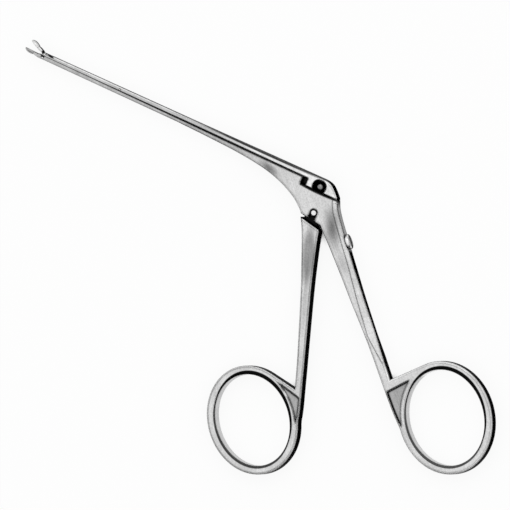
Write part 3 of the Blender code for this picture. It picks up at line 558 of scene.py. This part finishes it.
bodies = frame["record"]["behaviour"]["bodies"]
body_of_node = {node: body for body, nodes in bodies.items() for node in nodes}
finishes = {
    "frame": ("forged_steel", brushed_frame),
    "finger_handle": ("forged_steel", brushed_handle),
    "slider": ("slider_steel", buffed_slider),
    "upper_jaw": ("jaw_steel", buffed_jaw),
    "handle_pivot_pin": ("pin_steel", turned_pin),
    "jaw_pivot_pin": ("pin_steel", turned_pin),
    "jaw_drive_pin": ("pin_steel", turned_pin),
    "guide_pin_front": ("pin_steel", turned_pin),
    "guide_pin_rear": ("pin_steel", turned_pin),
    "rear_screw": ("screw_steel", turned_screw),
}
for node, (slot, material) in finishes.items():
    piece = dress(node, body_of_node[node], material)
    print(piece.name, len(piece.data.polygons), "faces")

# %% [markdown]
# The table
#
# The instrument lies on a white table. More light would turn a plain table white, but
# the steel would then be too bright. So the table adds a share of its own white for
# the camera and for reflections, and keeps the soft shadow under the instrument. Down
# a narrow gap that white is faded by an Ambient Occlusion node, a painted shade, as
# light hardly gets there.

# %% White table
TABLE_HALF = 3.0
TABLE_DROP = 0.02 * MM               # below the instrument, so the faces don't fight
OWN_WHITE = 0.9                      # share of its own white that the camera sees
GAP = 4.0 * MM                       # narrower gaps get painted shade
GAP_RANGE = (0.1, 0.38)              # openness, from a narrow gap to the free table

table = bpy.data.meshes.new("table")
corners = [(x * TABLE_HALF, y * TABLE_HALF, 0) for x, y in ((-1, -1), (1, -1), (1, 1), (-1, 1))]
table.from_pydata(corners, [], [(0, 1, 2, 3)])
table_top = bpy.data.objects.new("table_top", table)
table_top.location.z = -TABLE_DROP
bpy.context.scene.collection.objects.link(table_top)

paper = bpy.data.materials.new("white_paper")
paper.use_nodes = True
tree = paper.node_tree
tree.nodes.clear()
ray = add(tree, "LightPath", {}).outputs
direct = ray["Is Camera Ray"]
for kind in ("Is Glossy Ray", "Is Transmission Ray"):
    direct = add(tree, "Math", [direct, ray[kind]], operation="MAXIMUM")
share = add(tree, "Math", [direct, OWN_WHITE], operation="MULTIPLY")
lit = add(tree, "BsdfDiffuse", {"Color": colour("#FAFAFA")})
# Painted shade: the table's own white fades down narrow gaps.
gap = add(tree, "AmbientOcclusion", {"Distance": GAP}, samples=RAYS).outputs["AO"]
openness = add(tree, "MapRange", [gap, *GAP_RANGE], **EVEN)
own = add(tree, "Emission", {"Color": colour("#FFFFFF"), "Strength": openness})
mixed = add(tree, "MixShader", [share, lit, own])
add(tree, "OutputMaterial", {"Surface": mixed})
table.materials.append(paper)
print("table width in m:", 2 * TABLE_HALF)

# %% [markdown]
# The light
#
# Small lamps would draw hard spots on the steel. So a wide, bright ceiling of light
# hangs over the table, a little towards the top of the picture, with dim walls round
# it. A buffed flat mirrors the ceiling and looks pale, and a rounded edge mirrors the
# dim walls. One soft lamp, also towards the top, gives the walls there some shape.

# %% Ceiling and lamp
CEILING_SHIFT = 0.35                 # towards the top of the picture
CEILING_RANGE = (-0.05, 0.6)         # from the dim walls to the ceiling
CEILING_GLOW = (0.08, 0.95)
LAMP_AZIMUTH = math.radians(200.0)
LAMP_ELEVATION = math.radians(55.0)
LAMP_DISTANCE = 0.9
LAMP_SIZE = 0.5
LAMP_POWER = 0.6

world = bpy.data.worlds.new("studio")
bpy.context.scene.world = world
world.use_nodes = True
tree = world.node_tree
tree.nodes.clear()
sky = add(tree, "TexCoord", {}).outputs["Generated"]
ceiling = (-math.sin(TURN) * CEILING_SHIFT, math.cos(TURN) * CEILING_SHIFT, 1.0)
overhead = add(tree, "VectorMath", [sky, ceiling], operation="DOT_PRODUCT")
brightness = add(tree, "MapRange", [overhead, *CEILING_RANGE, *CEILING_GLOW], **EVEN)
glow = add(tree, "Background", {"Color": colour("#FFFFFF"), "Strength": brightness})
add(tree, "OutputWorld", {"Surface": glow})

lamp = bpy.data.lights.new("key_softbox", "AREA")
lamp.size = LAMP_SIZE
lamp.energy = LAMP_POWER
towards = Vector(
    (
        math.sin(LAMP_AZIMUTH) * math.cos(LAMP_ELEVATION),
        -math.cos(LAMP_AZIMUTH) * math.cos(LAMP_ELEVATION),
        math.sin(LAMP_ELEVATION),
    )
)
holder = bpy.data.objects.new("key_softbox", lamp)
holder.location = (cad_box[0] + cad_box[1]) / 2 + towards * LAMP_DISTANCE
holder.rotation_euler = towards.to_track_quat("Z", "Y").to_euler()
bpy.context.scene.collection.objects.link(holder)
print("lamp at", [round(side, 2) for side in holder.location], "m")

# %% [markdown]
# The camera
#
# The picture is taken from nearly straight above. A very long lens keeps the two sides
# of a ring alike, as in a catalogue picture. The view is turned so that the shaft
# climbs to the left, and leans a little to the right, so a strip of each right-hand
# wall shows.

# %% Camera
LEAN = math.radians(15.0)            # of the view from straight above
FIELD = 139.0 * MM                   # width of the picture at the instrument
LENS = 900.0
NEAREST, FARTHEST = 0.01, 50.0       # that the camera sees, in metres
AIM = Vector((-3.85 * MM, -20.6 * MM, cad_size.z))

across = Vector((math.cos(TURN), math.sin(TURN), 0.0))
up = Vector((-math.sin(TURN), math.cos(TURN), 0.0))
back = across * math.sin(LEAN) + Vector((0, 0, 1)) * math.cos(LEAN)
right = up.cross(back)
lens = bpy.data.cameras.new("camera")
lens.lens = LENS
lens.clip_start = NEAREST
lens.clip_end = FARTHEST
camera = bpy.data.objects.new("camera", lens)
distance = FIELD / 2 / (lens.sensor_width / 2 / LENS)
turned = Matrix((right, up, back)).transposed().to_4x4()
camera.matrix_world = Matrix.Translation(AIM + back * distance) @ turned
bpy.context.scene.collection.objects.link(camera)
bpy.context.scene.camera = camera
bpy.context.scene.view_settings.view_transform = "Standard"
print("camera distance in mm:", round(distance / MM))

# %% [markdown]
# The end

# %% The end
import json
